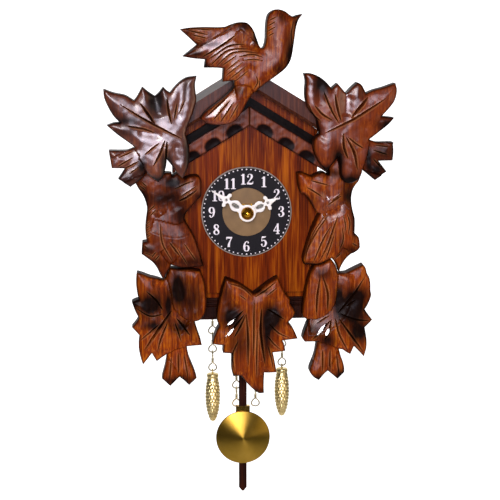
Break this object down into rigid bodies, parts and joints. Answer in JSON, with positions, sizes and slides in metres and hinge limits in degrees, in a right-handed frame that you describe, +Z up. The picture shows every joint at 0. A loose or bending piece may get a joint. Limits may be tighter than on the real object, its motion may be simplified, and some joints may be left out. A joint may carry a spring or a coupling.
{
  "type": "cuckoo-style wall clock",
  "caption": "House-shaped wall clock with carved leaves and birds, a dial with two pierced hands, a pendulum, and pine-cone weights on chains; battery movement.",
  "frame": {"origin": "centre of the round hole in the hanger plate, on the wall plane", "axes": "+Z up, -Y the way the dial faces, +Y into the wall, +X to the viewer's right"},
  "size_m": [0.1413, 0.057, 0.25],
  "materials": {
    "carved_wood": "dark stained and lacquered, glossy",
    "panel_wood": "red-brown stain, satin lacquer, vertical grain",
    "dark_wood": "near-black brown stain, satin lacquer",
    "raw_wood": "unstained, matt",
    "steel": "zinc plated",
    "brass": "polished",
    "gilt": "gilt over embossed metal",
    "chain_metal": "pale gilt plating",
    "copper": "enamelled copper wire",
    "magnet": "sintered magnet, matt",
    "dial_black": "black, satin",
    "dial_beige": "tan, matt",
    "black_plastic": "moulded black",
    "white_plastic": "ivory white, satin",
    "gear_plastic": "natural acetal",
    "circuit_green": "solder-masked laminate",
    "battery_wrap": "printed film without text, steel ends"
  },
  "bodies": {
    "case": {"front_board": "panel_wood", "side_board_left": "dark_wood", "side_board_right": "dark_wood", "base_board": "dark_wood", "base_moulding": "dark_wood", "roof_board_left": "carved_wood", "roof_board_right": "carved_wood", "gable_moulding_left": "dark_wood", "gable_moulding_right": "dark_wood", "gable_fascia_left": "carved_wood", "gable_fascia_right": "carved_wood", "back_board": "panel_wood", "back_screws": "steel", "hanger_plate": "steel", "hanger_screws": "steel", "glue_blocks": "raw_wood", "top_bird": "carved_wood", "upper_leaf_left": "carved_wood", "upper_leaf_right": "carved_wood", "side_bird_left": "carved_wood", "side_bird_right": "carved_wood", "lower_leaf_left": "carved_wood", "lower_leaf_right": "carved_wood", "centre_leaf": "carved_wood", "dial_plate": "dial_black", "dial_centre": "dial_beige", "dial_nut": "brass", "movement_front": "black_plastic", "movement_back": "black_plastic", "circuit_board": "circuit_green", "stator": "steel", "motor_coil": "copper", "battery_contacts": "steel", "pendulum_housing": "black_plastic", "pendulum_coil": "copper", "chain_staples": "steel"},
    "minute_train": {"minute_arbor": "brass", "minute_hand": "white_plastic", "hand_cap": "brass"},
    "hour_train": {"hour_wheel": "gear_plastic", "hour_hand": "white_plastic"},
    "motion_wheel": {"motion_wheel": "gear_plastic"},
    "setting_knob": {"setting_knob": "gear_plastic"},
    "drive_wheel": {"drive_wheel": "gear_plastic"},
    "third_wheel": {"third_wheel": "gear_plastic"},
    "seconds_wheel": {"seconds_wheel": "gear_plastic"},
    "step_wheel": {"step_wheel": "gear_plastic"},
    "rotor": {"rotor": "magnet"},
    "battery": {"battery": "battery_wrap"},
    "pendulum": {"pendulum_rocker": "gear_plastic", "pendulum_stick": "dark_wood"},
    "bob": {"pendulum_bob": "brass", "bob_clip": "brass"},
    "left_weight_chain": {"chain_left_weight": "chain_metal"},
    "left_free_chain": {"chain_left_free": "chain_metal"},
    "right_free_chain": {"chain_right_free": "chain_metal"},
    "right_weight_chain": {"chain_right_weight": "chain_metal"},
    "left_weight": {"weight_left": "gilt"},
    "right_weight": {"weight_right": "gilt"}
  },
  "joints": [
    {"name": "minute_hand_turn", "type": "hinge", "parent": "case", "child": "minute_train", "pos_m": [-0.0014, -0.024, -0.056], "axis": [0, 1, 0], "continuous": true},
    {"name": "hour_hand_turn", "type": "hinge", "parent": "case", "child": "hour_train", "pos_m": [-0.0014, -0.024, -0.056], "axis": [0, 1, 0], "continuous": true},
    {"name": "motion_wheel_turn", "type": "hinge", "parent": "case", "child": "motion_wheel", "pos_m": [0.00691, -0.024, -0.05377], "axis": [0, 1, 0], "continuous": true},
    {"name": "setting_knob_turn", "type": "hinge", "parent": "case", "child": "setting_knob", "pos_m": [0.01521, -0.024, -0.05155], "axis": [0, 1, 0], "continuous": true},
    {"name": "drive_wheel_turn", "type": "hinge", "parent": "case", "child": "drive_wheel", "pos_m": [-0.0014, -0.024, -0.056], "axis": [0, 1, 0], "continuous": true},
    {"name": "third_wheel_turn", "type": "hinge", "parent": "case", "child": "third_wheel", "pos_m": [-0.00995, -0.024, -0.06199], "axis": [0, 1, 0], "continuous": true},
    {"name": "seconds_wheel_turn", "type": "hinge", "parent": "case", "child": "seconds_wheel", "pos_m": [-0.0014, -0.024, -0.056], "axis": [0, 1, 0], "continuous": true},
    {"name": "step_wheel_turn", "type": "hinge", "parent": "case", "child": "step_wheel", "pos_m": [0.00535, -0.024, -0.06404], "axis": [0, 1, 0], "continuous": true},
    {"name": "rotor_turn", "type": "hinge", "parent": "case", "child": "rotor", "pos_m": [0.01381, -0.024, -0.06712], "axis": [0, 1, 0], "continuous": true},
    {"name": "battery_slide", "type": "slide", "parent": "case", "child": "battery", "axis": [0, 1, 0], "range_m": [0, 0.032]},
    {"name": "pendulum_swing", "type": "hinge", "parent": "case", "child": "pendulum", "pos_m": [-0.0021, -0.02, -0.087], "axis": [0, 1, 0], "range_deg": [-8, 8]},
    {"name": "bob_slide", "type": "slide", "parent": "pendulum", "child": "bob", "axis": [0, 0, 1], "range_m": [-0.01, 0.01]},
    {"name": "left_weight_chain_swing", "type": "hinge", "parent": "case", "child": "left_weight_chain", "pos_m": [-0.0173, -0.012, -0.10385], "axis": [0, 1, 0], "range_deg": [-5, 5]},
    {"name": "left_free_chain_swing", "type": "hinge", "parent": "case", "child": "left_free_chain", "pos_m": [-0.0048, -0.012, -0.10375], "axis": [0, 1, 0], "range_deg": [-5, 5]},
    {"name": "right_free_chain_swing", "type": "hinge", "parent": "case", "child": "right_free_chain", "pos_m": [0.0052, -0.012, -0.10375], "axis": [0, 1, 0], "range_deg": [-5, 5]},
    {"name": "right_weight_chain_swing", "type": "hinge", "parent": "case", "child": "right_weight_chain", "pos_m": [0.0192, -0.012, -0.10175], "axis": [0, 1, 0], "range_deg": [-5, 5]},
    {"name": "left_weight_swing", "type": "hinge", "parent": "left_weight_chain", "child": "left_weight", "pos_m": [-0.0173, -0.012, -0.14295], "axis": [0, 1, 0], "range_deg": [-8, 8]},
    {"name": "right_weight_swing", "type": "hinge", "parent": "right_weight_chain", "child": "right_weight", "pos_m": [0.0192, -0.012, -0.14085], "axis": [0, 1, 0], "range_deg": [-8, 8]}
  ],
  "couplings": [
    {"joint": "hour_hand_turn", "follows": "minute_hand_turn", "ratio": 0.083333},
    {"joint": "motion_wheel_turn", "follows": "minute_hand_turn", "ratio": -0.33333},
    {"joint": "setting_knob_turn", "follows": "minute_hand_turn", "ratio": 1},
    {"joint": "step_wheel_turn", "follows": "rotor_turn", "ratio": -0.2},
    {"joint": "seconds_wheel_turn", "follows": "rotor_turn", "ratio": 0.033333},
    {"joint": "third_wheel_turn", "follows": "rotor_turn", "ratio": -0.0044444},
    {"joint": "drive_wheel_turn", "follows": "rotor_turn", "ratio": 0.00055556}
  ]
}
